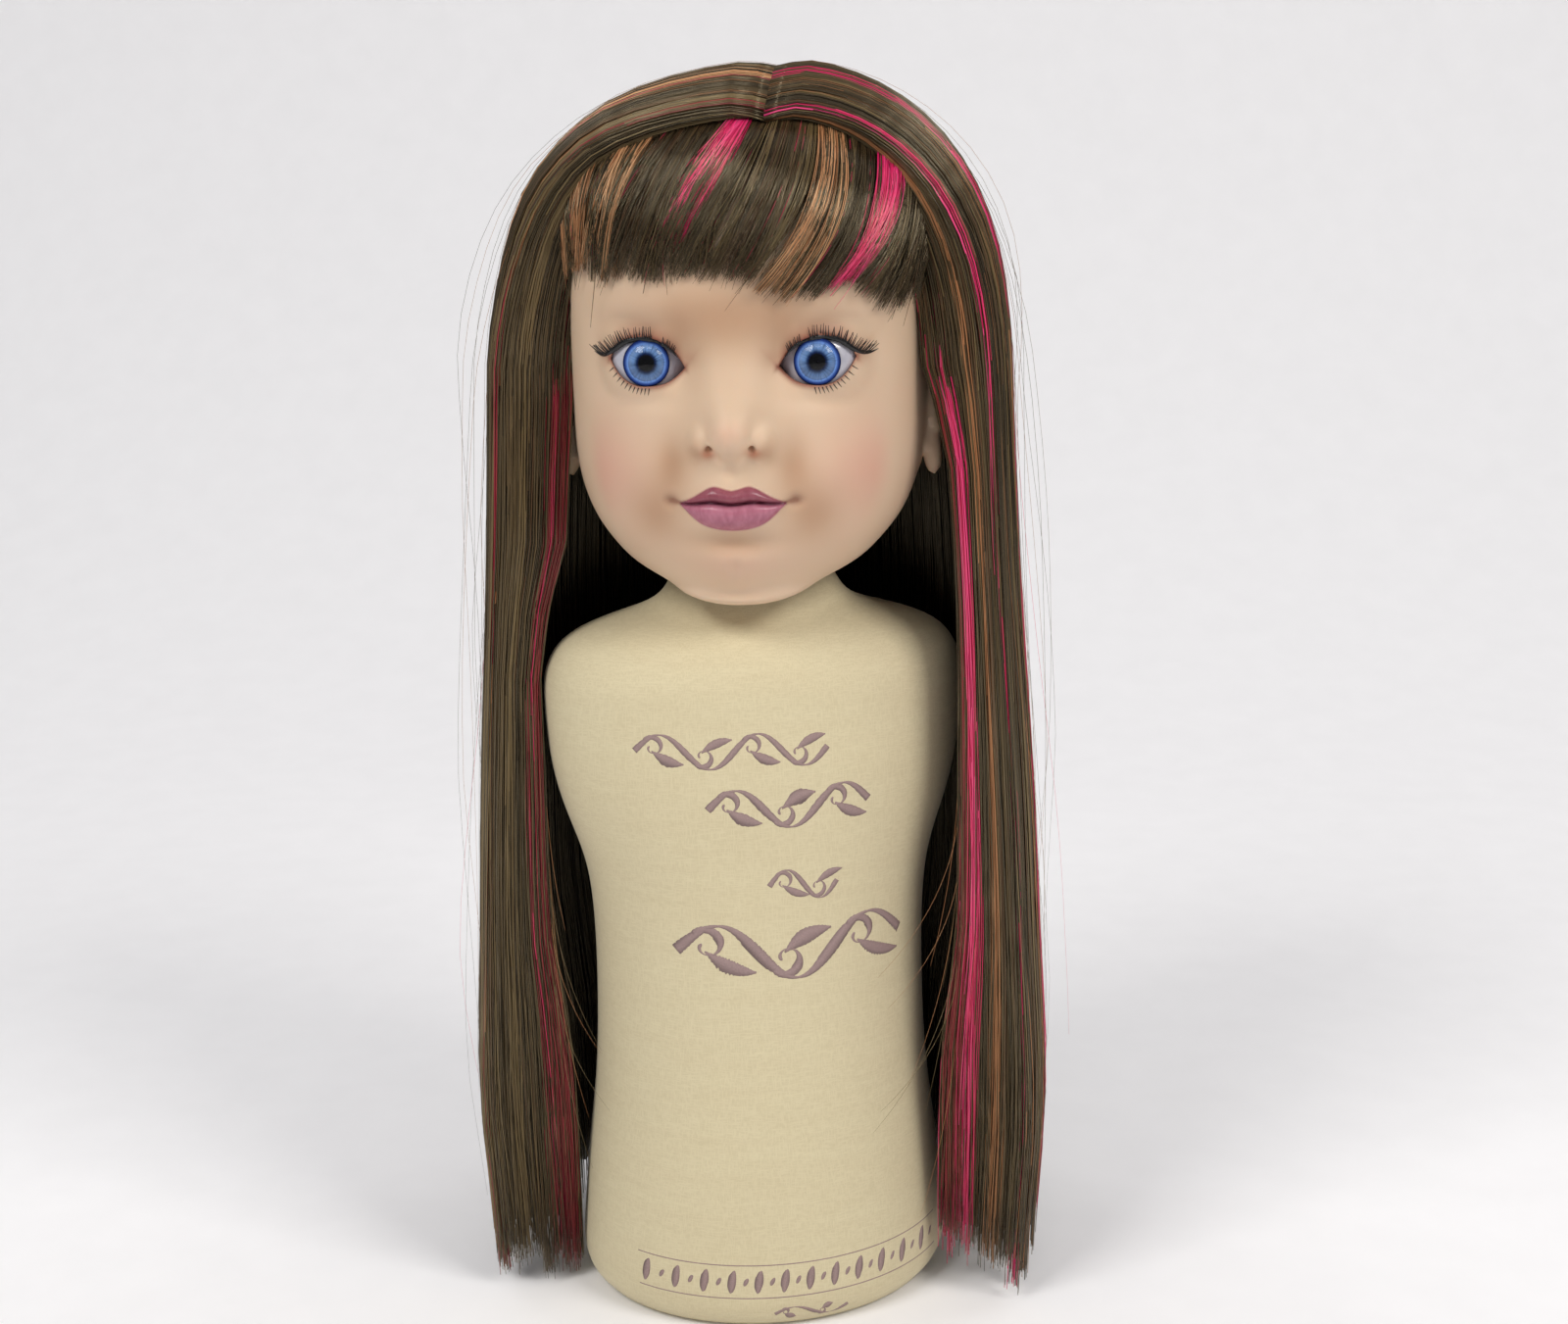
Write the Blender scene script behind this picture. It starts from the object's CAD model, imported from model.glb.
"""Looks of the doll-sized training head: vinyl face, inset eyes, rooted hair, cloth-covered form.

Shapes are worked out in millimetres in the CAD's frame (+Z up, the face looks along -Y) and written to
Blender in metres. "Left" and "right" are as seen when looking at the face, so right is +X.
"""

import math

import bpy
import numpy as np
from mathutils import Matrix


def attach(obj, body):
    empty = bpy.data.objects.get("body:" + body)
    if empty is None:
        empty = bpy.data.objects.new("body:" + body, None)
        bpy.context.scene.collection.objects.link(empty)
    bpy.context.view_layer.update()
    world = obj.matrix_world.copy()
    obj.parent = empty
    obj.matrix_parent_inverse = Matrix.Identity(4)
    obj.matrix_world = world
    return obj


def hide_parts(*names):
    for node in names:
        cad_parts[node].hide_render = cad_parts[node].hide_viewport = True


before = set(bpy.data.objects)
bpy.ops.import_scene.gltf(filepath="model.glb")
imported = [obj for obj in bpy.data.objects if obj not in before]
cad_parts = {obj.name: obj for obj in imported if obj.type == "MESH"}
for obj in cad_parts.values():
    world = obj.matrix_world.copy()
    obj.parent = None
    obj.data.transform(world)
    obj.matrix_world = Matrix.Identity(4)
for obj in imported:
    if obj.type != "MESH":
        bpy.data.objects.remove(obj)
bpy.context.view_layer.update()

import openvdb
from mathutils import Matrix, Vector
from mathutils.bvhtree import BVHTree

MM = 0.001
SIDES = (("left", -1), ("right", 1))
rng = np.random.default_rng(7)


# ------------ small tools
class Spline:
    """A natural cubic curve through rows of (place, value, value...)."""

    def __init__(self, rows):
        rows = np.asarray(rows, float)
        self.x, self.y = rows[:, 0], rows[:, 1:]
        count, gap = len(rows), np.diff(rows[:, 0])
        matrix, right = np.eye(count), np.zeros_like(self.y)
        for i in range(1, count - 1):
            matrix[i, i - 1 : i + 2] = gap[i - 1], 2 * (gap[i - 1] + gap[i]), gap[i]
            rise = np.diff(self.y[i - 1 : i + 2], axis=0) / gap[i - 1 : i + 1, None]
            right[i] = 6 * (rise[1] - rise[0])
        self.bend = np.linalg.solve(matrix, right)

    def __call__(self, place):
        place = np.clip(np.asarray(place, float), self.x[0], self.x[-1])
        i = np.clip(np.searchsorted(self.x, place) - 1, 0, len(self.x) - 2)
        gap = (self.x[i + 1] - self.x[i])[..., None]
        after = (place - self.x[i])[..., None]
        before = gap - after
        curve = (self.bend[i] * before**3 + self.bend[i + 1] * after**3) / (6 * gap)
        curve += (self.y[i] / gap - self.bend[i] * gap / 6) * before
        curve += (self.y[i + 1] / gap - self.bend[i + 1] * gap / 6) * after
        return curve[..., 0] if curve.shape[-1] == 1 else curve


def step(low, high, value):
    """Smoothly 0 below low and 1 above high."""
    share = np.clip((value - low) / (high - low), 0, 1)
    return share * share * (3 - 2 * share)


def hill(x, z, centre, width, height):
    """A smooth round hill of height 1 over the (x, z) plane."""
    return np.exp(-(((x - centre[0]) / width) ** 2) - ((z - centre[1]) / height) ** 2)


def hills(rows, across, z):
    """The sum of several hills: each row has its height, then what hill() takes."""
    return sum(height * hill(across, z, *place) for height, *place in rows)


def unit(v):
    return v / np.maximum(np.linalg.norm(v, axis=-1, keepdims=True), 1e-9)


def mesh_object(name, points, faces, materials, face_material=None):
    """A smooth mesh object from points in millimetres and faces, a list of arrays of one width each."""
    mesh = bpy.data.meshes.new(name)
    points = np.ascontiguousarray(np.asarray(points, float).reshape(-1, 3) * MM)
    faces = [np.asarray(block, np.int32) for block in faces if len(block)]
    mesh.vertices.add(len(points))
    mesh.vertices.foreach_set("co", points.ravel())
    corners = np.concatenate([block.ravel() for block in faces])
    widths = np.concatenate([np.full(len(block), block.shape[1], np.int32) for block in faces])
    mesh.loops.add(len(corners))
    mesh.loops.foreach_set("vertex_index", corners)
    mesh.polygons.add(len(widths))
    mesh.polygons.foreach_set("loop_start", np.concatenate([[0], np.cumsum(widths)[:-1]]).astype(np.int32))
    if face_material is not None:
        mesh.polygons.foreach_set("material_index", np.asarray(face_material, np.int32))
    mesh.polygons.foreach_set("use_smooth", np.ones(len(widths), bool))
    for material in materials:
        mesh.materials.append(material)
    mesh.update(calc_edges=True)
    mesh.validate()
    obj = bpy.data.objects.new(name, mesh)
    bpy.context.scene.collection.objects.link(obj)
    return obj


def grid_faces(rows, columns, close_columns=True):
    """Quads between the points of a grid stored row by row."""
    across = np.arange(columns if close_columns else columns - 1)
    i, j = np.meshgrid(np.arange(rows - 1), across, indexing="ij")
    here, beside = i * columns + j, i * columns + (j + 1) % columns
    quads = np.stack([here, beside, beside + columns, here + columns], axis=-1)
    return quads.reshape(-1, 4)


def closed_grid_faces(rows, columns):
    """Quads of a grid whose last row also joins its first."""
    last = grid_faces(2, columns)
    return [grid_faces(rows, columns), np.where(last < columns, last + (rows - 1) * columns, last - columns)]


def lathe(name, outline, materials):
    """A closed ring turned about Z from (radius, height) corners."""
    segments = 128
    angle = np.linspace(0, 2 * math.pi, segments, endpoint=False)
    outline = np.asarray(outline, float)
    x = outline[:, :1] * np.cos(angle)
    y = outline[:, :1] * np.sin(angle)
    z = np.repeat(outline[:, 1:], segments, axis=1)
    faces = closed_grid_faces(len(outline), segments)
    return mesh_object(name, np.stack([x, y, z], axis=-1), faces, materials)


# ------------ materials
def srgb(r, g, b):
    """A linear colour from 0 to 255 display values."""
    linear = [c / 3294.6 if c <= 10.3 else ((c / 255 + 0.055) / 1.055) ** 2.4 for c in (r, g, b)]
    return (*linear, 1.0)


class Look:
    """A node material round one Principled shader, built up call by call."""

    def __init__(self, name, colour, roughness, **sockets):
        self.material = bpy.data.materials.new(name)
        self.material.use_nodes = True
        self.tree = self.material.node_tree
        self.shader = self.tree.nodes["Principled BSDF"]
        self.shader.inputs["Base Color"].default_value = colour
        self.shader.inputs["Roughness"].default_value = roughness
        for socket, value in sockets.items():
            self.shader.inputs[socket.replace("_", " ")].default_value = value
        self.place = None
        self.material.diffuse_color = colour

    def node(self, kind, **settings):
        made = self.tree.nodes.new(kind)
        for key, value in settings.items():
            setattr(made, key, value)
        return made

    def link(self, source, target):
        self.tree.links.new(source, target)
        return target

    def position(self):
        """Place in the object's own frame, in metres."""
        if self.place is None:
            self.place = self.node("ShaderNodeTexCoord").outputs["Object"]
        return self.place

    def feed(self, sockets, values):
        """Sets each socket to a constant, or links an output to it."""
        for socket, value in zip(sockets, values):
            if isinstance(value, (int, float, tuple)):
                socket.default_value = value
            else:
                self.link(value, socket)

    def math(self, operation, first, second=0.5, clamp=False):
        made = self.node("ShaderNodeMath", operation=operation, use_clamp=clamp)
        self.feed(made.inputs, (first, second))
        return made.outputs[0]

    def vector(self, operation, first, second=(0, 0, 0)):
        made = self.node("ShaderNodeVectorMath", operation=operation)
        self.feed(made.inputs, (first, second))
        return made.outputs["Value" if operation in ("LENGTH", "DOT_PRODUCT") else "Vector"]

    def noise(self, size, detail=3.0, stretch=(1, 1, 1), where=None):
        """Noise whose features are about size metres across."""
        scaled = self.vector("MULTIPLY", where or self.position(), tuple(s / size for s in stretch))
        made = self.node("ShaderNodeTexNoise")
        made.inputs["Scale"].default_value = 1.0
        made.inputs["Detail"].default_value = detail
        self.link(scaled, made.inputs["Vector"])
        return made.outputs["Fac"]

    def ramp(self, source, *stops):
        """Colours along a value: each stop is (place, colour)."""
        made = self.node("ShaderNodeValToRGB")
        while len(made.color_ramp.elements) < len(stops):
            made.color_ramp.elements.new(0.5)
        for element, (place, colour) in zip(made.color_ramp.elements, stops):
            element.position, element.color = place, colour
        self.link(source, made.inputs["Fac"])
        return made.outputs["Color"]

    def mix(self, share, first, second, blend="MIX"):
        made = self.node("ShaderNodeMix", data_type="RGBA", blend_type=blend)
        self.feed((made.inputs[0], made.inputs[6], made.inputs[7]), (share, first, second))
        return made.outputs[2]

    def attribute(self, name):
        return self.node("ShaderNodeAttribute", attribute_name=name).outputs["Fac"]

    def colour(self, source):
        self.link(source, self.shader.inputs["Base Color"])
        return self

    def roughness(self, source, low, high):
        made = self.node("ShaderNodeMapRange")
        made.inputs["To Min"].default_value, made.inputs["To Max"].default_value = low, high
        self.link(source, made.inputs["Value"])
        self.link(made.outputs[0], self.shader.inputs["Roughness"])
        return self

    def bump(self, height, distance, strength=1.0):
        made = self.node("ShaderNodeBump")
        made.inputs["Strength"].default_value = strength
        made.inputs["Distance"].default_value = distance
        self.link(height, made.inputs["Height"])
        self.link(made.outputs[0], self.shader.inputs["Normal"])
        return self


def grainy(name, colour, roughness, size, contrast=0.12, stretch=(1, 1, 1), depth=0.0, **sockets):
    """A surface whose colour and height vary with a noise of the given size."""
    look = Look(name, colour, roughness, **sockets)
    noise = look.noise(size, stretch=stretch)
    dark = tuple(c * (1 - contrast) for c in colour[:3]) + (1.0,)
    light = tuple(min(1.0, c * (1 + contrast)) for c in colour[:3]) + (1.0,)
    look.colour(look.ramp(noise, (0.3, dark), (0.7, light)))
    look.roughness(noise, roughness - 0.05, roughness + 0.05)
    if depth:
        look.bump(noise, depth)
    return look.material


# ------------ head: the sculpted vinyl
HEAD_SECTIONS = Spline((
    (191.8, 3.4, 2.5, -29), (192.5, 7.8, 6.5, -28), (196, 18.2, 15, -21.5), (200, 26.8, 25, -13.5),
    (205, 33.5, 34.5, -8.5), (211, 38.7, 41.5, -4.5), (217, 41.9, 44.4, -2.4), (225, 44.3, 46.8, -0.5),
    (240, 45.8, 49.2, 1.5), (255, 46.5, 50.6, 2.5), (270, 46.5, 51.5, 3), (285, 44.2, 49.3, 3.5),
    (298, 38, 42.8, 4), (308, 28.5, 32.8, 4), (314, 18, 21, 4), (317.5, 5.5, 6.5, 4),
))
HEAD_BOTTOM, HEAD_TOP = 192.0, 317.5
WALL, FACE_THICKER = 2.8, 4.5
HOLLOW_BOTTOM = 197.0
NECK_HOLE_R, NECK_HOLE_TOP = 25.0, 216.0
# The collar's outline under the head, which holds the neck ring: radius, height.
COLLAR = ((25.5, 201.05), (25.5, 216), (21.2, 216), (21.2, 205.55), (19.25, 205.55), (19.25, 201.05))
EYE_X, EYE_Y, EYE_Z = 20.5, -32.0, 253.0
EYE_R, LID_R = 11.0, 12.1
EYE_ROOM = 0.12
MOUTH_Z, MOUTH_HALF = 219.6, 13.2
# The nose's rods: start, end, radius at the start and at the end. Those with an x stand on both sides.
NOSE_BRIDGE = ((0, -40.0, 257), (0, -44.4, 243), 5.0, 5.6)
NOSE_BODY = ((0, -46.4, 242), (0, -49.8, 236.2), 4.3, 5.0)
NOSE_FOOT = ((0, -50.0, 233.8), (0, -47.6, 230.6), 2.1, 1.8)
NOSTRIL = ((5.7, -52.0, 230.8), (4.9, -48.6, 234.2), 1.05, 0.7)
# Ellipsoids on both sides: middle, radii.
NOSE_WING = ((6.8, -46.9, 234.4), (3.1, 3.8, 3.4))
EAR_SHELL = ((47.2, 5, 237.5), (2.6, 8.2, 13.5))
EAR_LOBE = ((47.5, 1.5, 225.5), (2.2, 3.8, 5))
EAR_HOLLOW = ((51.5, 4.5, 239), (3.2, 4.6, 8.5))
EAR_FLAP = ((47.8, -0.8, 234), (1.8, 1.8, 2.6))
# Soft forms of the face: how far out, place across and up, half width, half height, on both sides alike.
FACE_FORMS = (
    (1.7, (0, 220.5), 13, 8.5),  # muzzle
    (1.8, (0, 202.5), 9, 6),  # chin
    (-0.45, (0, 203.5), 1.6, 2.2),  # dimple of the chin
    (-1.5, (0, 210.3), 10, 2.8),  # hollow under the lower lip
    (1.5, (27, 226), 11, 10),  # cheeks
    (-0.8, (14.5, 231), 3.2, 6),  # folds beside the nose
    (-1.0, (15.0, 220.0), 2.0, 1.7),  # corners of the mouth
    (-0.5, (17.5, 213), 4, 6),  # hollows below the corners
    (-0.55, (0, 226.8), 1.7, 3.2),  # groove over the upper lip
    (-3.0, (11.5, 253.5), 5.5, 7.5),  # inner eye sockets
    (-0.8, (24, 262), 8, 2.6),  # creases over the upper lids
    (-1.5, (0, 256), 7, 7),  # root of the nose
    (-0.8, (22, 244.2), 8, 2.5),  # hollows under the eyes
    (0.9, (23, 268), 11, 4.5),  # brows
)
# Airbrushed shades: strength, place across and up, half width, half height, on both sides alike.
BLUSHES = (
    (0.8, (34, 226.5), 13, 12),  # cheeks
    (0.35, (0, 204), 13, 5),  # chin
    (0.35, (0, 237), 4, 3),  # tip of the nose
)
SHADES = (
    (0.65, (14.5, 229), 4.5, 7),  # beside the nose
    (0.55, (0, 210), 10, 3.2),  # under the lower lip
    (0.7, (19, 216.5), 7.5, 8.5),  # beside the mouth
    (0.5, (8.5, 232), 2, 3),  # beside the nose's wings
    (0.75, (0, 264), 26, 9),  # forehead
    (0.3, (13, 257), 4, 8),  # inner eye sockets
)
# The lips' outline: distance from the middle, height above the mouth line.
UPPER_LIP = Spline(((0, 3.4), (2, 3.9), (4, 4.4), (6.9, 3.3), (9.2, 1.9), (11.2, 0.9), (13.2, 0.05)))
LOWER_LIP = Spline(((0, -6.6), (3, -6.4), (5.5, -5.8), (8.3, -4.5), (10.5, -2.6), (12.1, -1.0), (13.2, -0.1)))
UPPER_LIP_OUT, LOWER_LIP_OUT = 1.5, 2.1
LIP_GROOVE = 0.5
# The eye's opening: distance outwards from the iris's middle, height of each lid above it.
UPPER_LID = Spline((
    (-9.3, -1.2), (-8, 0.9), (-6, 3.2), (-3, 5.3), (0, 6.0), (3, 5.9), (6, 4.7), (8, 2.8), (9.1, 0.9),
))
LOWER_LID = Spline((
    (-9.3, -1.2), (-8, -2.5), (-6, -4.1), (-3, -5.3), (0, -5.6), (3, -5.2), (6, -3.4), (8, -1.0), (9.1, 0.9),
))
EYE_CORNER = 9.2


def mouth_line(x):
    """Height of the line between the lips."""
    return MOUTH_Z + 0.5 * np.exp(-(((np.abs(x) - 5) / 3) ** 2)) + 0.45 * step(11.5, 16, np.abs(x))


def lip_heights(x, z):
    """How far the lips stand out of the muzzle at (x, z)."""
    across = np.abs(x)
    line = mouth_line(x)
    top = np.maximum(UPPER_LIP(across) + MOUTH_Z - line, 0.05)
    low = np.minimum(LOWER_LIP(across) + MOUTH_Z - line, -0.05)
    inside = across < MOUTH_HALF
    end = np.sqrt(np.clip(1 - (across / MOUTH_HALF) ** 2, 0, 1))
    up, down = np.clip((z - line) / top, 0, 1), np.clip((z - line) / low, 0, 1)
    upper = np.where(z >= line, np.sin(math.pi * up**0.8) ** 0.7, 0) * UPPER_LIP_OUT
    lower = np.where(z < line, np.sin(math.pi * down**0.75) ** 0.7, 0) * LOWER_LIP_OUT
    groove = np.exp(-(((z - line) / LIP_GROOVE) ** 2)) * step(16, 10.5, across)
    return np.where(inside, (upper + lower) * end, 0) - 0.6 * groove


def face_relief(x, z):
    """How far the face's soft forms stand out of the plain skull at (x, z)."""
    return hills(FACE_FORMS, np.abs(x), z) + lip_heights(x, z)


def smooth_union(a, b, k):
    share = np.maximum(k - np.abs(a - b), 0) / k
    return np.minimum(a, b) - share * share * k / 4


def smooth_cut(a, b, k):
    return -smooth_union(-a, b, k)


def ball_field(x, y, z, centre, radii):
    """About the distance to an ellipsoid."""
    radii = np.broadcast_to(radii, 3)
    scaled = [(v - c) / r for v, c, r in zip((x, y, z), centre, radii)]
    return (np.sqrt(scaled[0] ** 2 + scaled[1] ** 2 + scaled[2] ** 2) - 1) * radii.min()


def rod_field(x, y, z, start, end, start_r, end_r):
    """Distance to a round rod whose radius changes from start to end."""
    start, end = np.array(start, float), np.array(end, float)
    along = end - start
    share = (x - start[0]) * along[0] + (y - start[1]) * along[1] + (z - start[2]) * along[2]
    share = np.clip(share / (along @ along), 0, 1)
    gaps = [v - (s + share * a) for v, s, a in zip((x, y, z), start, along)]
    return np.sqrt(gaps[0] ** 2 + gaps[1] ** 2 + gaps[2] ** 2) - (start_r + share * (end_r - start_r))


def eye_opening(across, z):
    """Negative inside the eye's opening; across is outwards from the iris's middle."""
    height = z - EYE_Z
    gap = np.maximum(height - UPPER_LID(across), LOWER_LID(across) - height)
    return np.maximum(gap * 0.85, np.abs(across + 0.1) - EYE_CORNER)


def uneven(fine_low, fine_high, low, high, fine, coarse):
    """Places from low to high, fine apart between the two middle limits and coarse outside them."""
    places = [fine_low]
    while places[0] > low:
        size = min(coarse, fine + (fine_low - places[0]) * 0.12)
        places.insert(0, places[0] - size)
    while places[-1] < high:
        over = max(0.0, places[-1] - fine_high)
        places.append(places[-1] + min(coarse, fine + over * 0.12))
    return np.array(places, np.float32)


def skull_field(x, y, z):
    """About the distance to the plain skull."""
    a, b, c = np.moveaxis(HEAD_SECTIONS(z.ravel()).reshape(z.shape + (3,)), -1, 0).astype(np.float32)
    lean = np.gradient(a.ravel(), z.ravel()).reshape(z.shape).astype(np.float32)
    ring = np.sqrt((x / a) ** 2 + ((y - c) / b) ** 2) - 1
    field = ring * np.minimum(a, b) / np.sqrt(1 + lean**2)
    return np.maximum(np.maximum(field, z - HEAD_TOP), HEAD_BOTTOM - z)


FINE_STEP = 0.42


def on_side(sign, place):
    return (sign * place[0], *place[1:])


def sculpt_nose(x, y, z, face):
    """Adds the nose to the face's field and opens the nostrils."""
    face = smooth_union(face, rod_field(x, y, z, *NOSE_BRIDGE), 9)
    nose = rod_field(x, y, z, *NOSE_BODY)
    for _side, sign in SIDES:
        nose = smooth_union(nose, ball_field(x, y, z, on_side(sign, NOSE_WING[0]), NOSE_WING[1]), 1.8)
    nose = smooth_union(nose, rod_field(x, y, z, *NOSE_FOOT), 2.2)
    face = smooth_union(face, nose, 3.0)
    for _side, sign in SIDES:
        start, end, *radii = NOSTRIL
        face = smooth_cut(face, rod_field(x, y, z, on_side(sign, start), on_side(sign, end), *radii), 0.7)
    return face


def sculpt_ear(x, y, z, sign, head):
    """Adds the ear on one side to the head's field."""
    shell, lobe, hollow, flap = (
        ball_field(x, y, z, on_side(sign, middle), radii)
        for middle, radii in (EAR_SHELL, EAR_LOBE, EAR_HOLLOW, EAR_FLAP)
    )
    ear = smooth_cut(smooth_union(shell, lobe, 2), hollow, 1.2)
    return smooth_union(head, smooth_union(ear, flap, 1), 1.5)


def sculpt_head():
    """The head as one closed mesh, its surface read from a distance field on an uneven grid."""
    xs = uneven(-31, 31, -56, 56, FINE_STEP, 1.5)
    ys = uneven(-60, -38, -61, 60, FINE_STEP, 1.6)
    zs = uneven(196, 268, 189, 321, FINE_STEP, 1.5)
    x, y, z = xs[:, None, None], ys[None, :, None], zs[None, None, :]
    plain = skull_field(x, y, z)
    field = plain.copy()

    near = ys < -18
    fx, fy, fz = x, y[:, near], z
    face = field[:, near]
    relief = face_relief(x[:, 0], z[0]).astype(np.float32)[:, None, :]
    facing = step(-20, -34, fy)
    face = face - relief * facing
    face = sculpt_nose(fx, fy, fz, face)
    for _side, sign in SIDES:
        centre = (sign * EYE_X, EYE_Y, EYE_Z)
        face = smooth_union(face, ball_field(fx, fy, fz, centre, LID_R), 2.6)
        across = sign * (xs - centre[0])
        opening = eye_opening(across[:, None], zs[None, :]).astype(np.float32)[:, None, :]
        near_eye = np.abs(across) < 14
        face[near_eye] = smooth_cut(face[near_eye], opening[near_eye] + 0 * fy, 0.5)
        face = np.maximum(face, -ball_field(fx, fy, fz, centre, EYE_R + EYE_ROOM))
    field[:, near] = face

    for _side, sign in SIDES:
        beside = sign * xs > 38
        field[beside] = sculpt_ear(x[beside], y, z, sign, field[beside])

    hollow = np.maximum(plain + WALL + FACE_THICKER * step(-16, -32, y), HOLLOW_BOTTOM - z)
    neck = np.maximum(np.sqrt(x**2 + y**2) - NECK_HOLE_R, z - NECK_HOLE_TOP)
    field = np.maximum(field, -np.minimum(hollow, neck))
    grid = openvdb.FloatGrid(background=10.0)
    grid.copyFromArray(np.ascontiguousarray(field, np.float32))
    points, quads = grid.convertToQuads(isovalue=0.0)
    places = [np.interp(points[:, i], np.arange(len(line)), line) for i, line in enumerate((xs, ys, zs))]
    return np.stack(places, axis=-1), np.asarray(quads, np.int32)[:, ::-1]


LIP_EDGE = 0.28


def skin_masks(points):
    """Where the vinyl is painted: each mask is 0 to 1 for every point."""
    x, y, z = points.T
    across = np.abs(x)
    front = step(-24, -34, y)
    line = mouth_line(x)
    top, low = UPPER_LIP(across) + MOUTH_Z, LOWER_LIP(across) + MOUTH_Z
    lip = step(-LIP_EDGE, LIP_EDGE, top - z) * step(-LIP_EDGE, LIP_EDGE, z - low)
    lip = lip * step(MOUTH_HALF + 0.2, MOUTH_HALF - 0.6, across)
    crease = np.exp(-(((z - line) / LIP_GROOVE) ** 2)) * step(16.2, 13.8, across)
    crease += 0.9 * hill(across, z, (15.0, 220.1), 1.6, 1.2)
    opening = eye_opening(across - EYE_X, z)
    lid_shadow = np.exp(-((np.maximum(opening - 0.3, 0) / 2.6) ** 2)) * step(-3, 3, z - EYE_Z)
    masks = {
        "lip": lip, "lower_lip": lip * step(-0.3, 0.3, line - z), "crease": crease,
        "blush": hills(BLUSHES, across, z), "shade": hills(SHADES, across, z), "lid_shadow": lid_shadow,
        "rim": np.exp(-((np.maximum(opening, 0) / 0.8) ** 2)),
    }
    masks = {name: np.clip(mask * front, 0, 1) for name, mask in masks.items()}
    masks["nostril"] = hill(across, z, (5.5, 231.8), 1.7, 1.3) * step(-45, -47, y)
    return masks


def skin_look():
    look = Look("vinyl_skin", srgb(212, 182, 156), 0.5, Subsurface_Weight=0.12, Subsurface_Scale=0.004,
                Specular_IOR_Level=0.3)
    look.shader.inputs["Subsurface Radius"].default_value = (1.0, 0.35, 0.2)
    skin = look.ramp(look.noise(0.03, 2), (0.3, srgb(213, 184, 155)), (0.7, srgb(218, 191, 164)))
    for mask, share, tint in (
        ("blush", 0.75, srgb(208, 150, 132)), ("shade", 0.8, srgb(162, 114, 78)),
        ("lid_shadow", 0.75, srgb(158, 104, 80)), ("rim", 0.85, srgb(128, 68, 52)),
        ("nostril", 0.8, srgb(184, 112, 80)), ("crease", 0.7, srgb(126, 74, 56)),
    ):
        skin = look.mix(look.math("MULTIPLY", look.attribute(mask), share, clamp=True), skin, tint)
    grain = look.noise(0.0012, 3, stretch=(1, 1, 0.3))
    upper = look.ramp(grain, (0.3, srgb(136, 72, 84)), (0.7, srgb(148, 84, 96)))
    lower = look.ramp(grain, (0.3, srgb(164, 98, 116)), (0.7, srgb(182, 116, 134)))
    lips = look.mix(look.attribute("lower_lip"), upper, lower)
    lips = look.mix(look.attribute("crease"), lips, srgb(100, 42, 58))
    skin = look.mix(look.attribute("lip"), skin, lips)
    look.colour(skin)
    look.roughness(look.attribute("lip"), 0.52, 0.24)
    look.bump(look.noise(0.0005, 2), 0.00002, 0.6)
    return look.material


def make_head():
    points, quads = sculpt_head()
    head = mesh_object("vinyl_head", points, [quads], [skin_look()])
    for name, mask in skin_masks(points).items():
        layer = head.data.attributes.new(name, "FLOAT", "POINT")
        layer.data.foreach_set("value", np.ascontiguousarray(mask, np.float32))
    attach(head, "head")
    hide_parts("head_shell")
    return head


head = make_head()
collar = lathe("neck_collar", COLLAR, [head.data.materials[0]])
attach(collar, "head")
head_tree = BVHTree.FromObject(head, bpy.context.evaluated_depsgraph_get())


def face_depth(x, z):
    """The y of the head's front surface, in millimetres, at a place in front of it."""
    hit = head_tree.ray_cast(Vector((x, -80, z)) * MM, Vector((0, 1, 0)))[0]
    return hit.y / MM if hit else EYE_Y - LID_R


# ------------ eyes
IRIS_R, IRIS_CURVE_R = 5.65, 40.0
LENS_R, LENS_AHEAD = 7.77, 4.38
EYEBALL_WALL, IRIS_THICKNESS = 1.2, 0.05
BLACK = srgb(12, 12, 14)
PUPIL = srgb(3, 3, 6)


def dome_rings(centre, radius, ahead, outer, rings, segments=96):
    """Rings of a round cap that faces -Y, from its middle to the distance outer from its axis."""
    reach = np.linspace(0.02, 1, rings)[:, None] * outer
    angle = np.linspace(0, 2 * math.pi, segments, endpoint=False)[None, :]
    x = centre[0] + reach * np.cos(angle)
    z = centre[2] + reach * np.sin(angle)
    y = centre[1] - ahead - np.sqrt(np.maximum(radius**2 - reach**2, 0)) + 0 * angle
    return np.stack([x, y, z], axis=-1), grid_faces(rings, segments)[:, ::-1]


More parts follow.
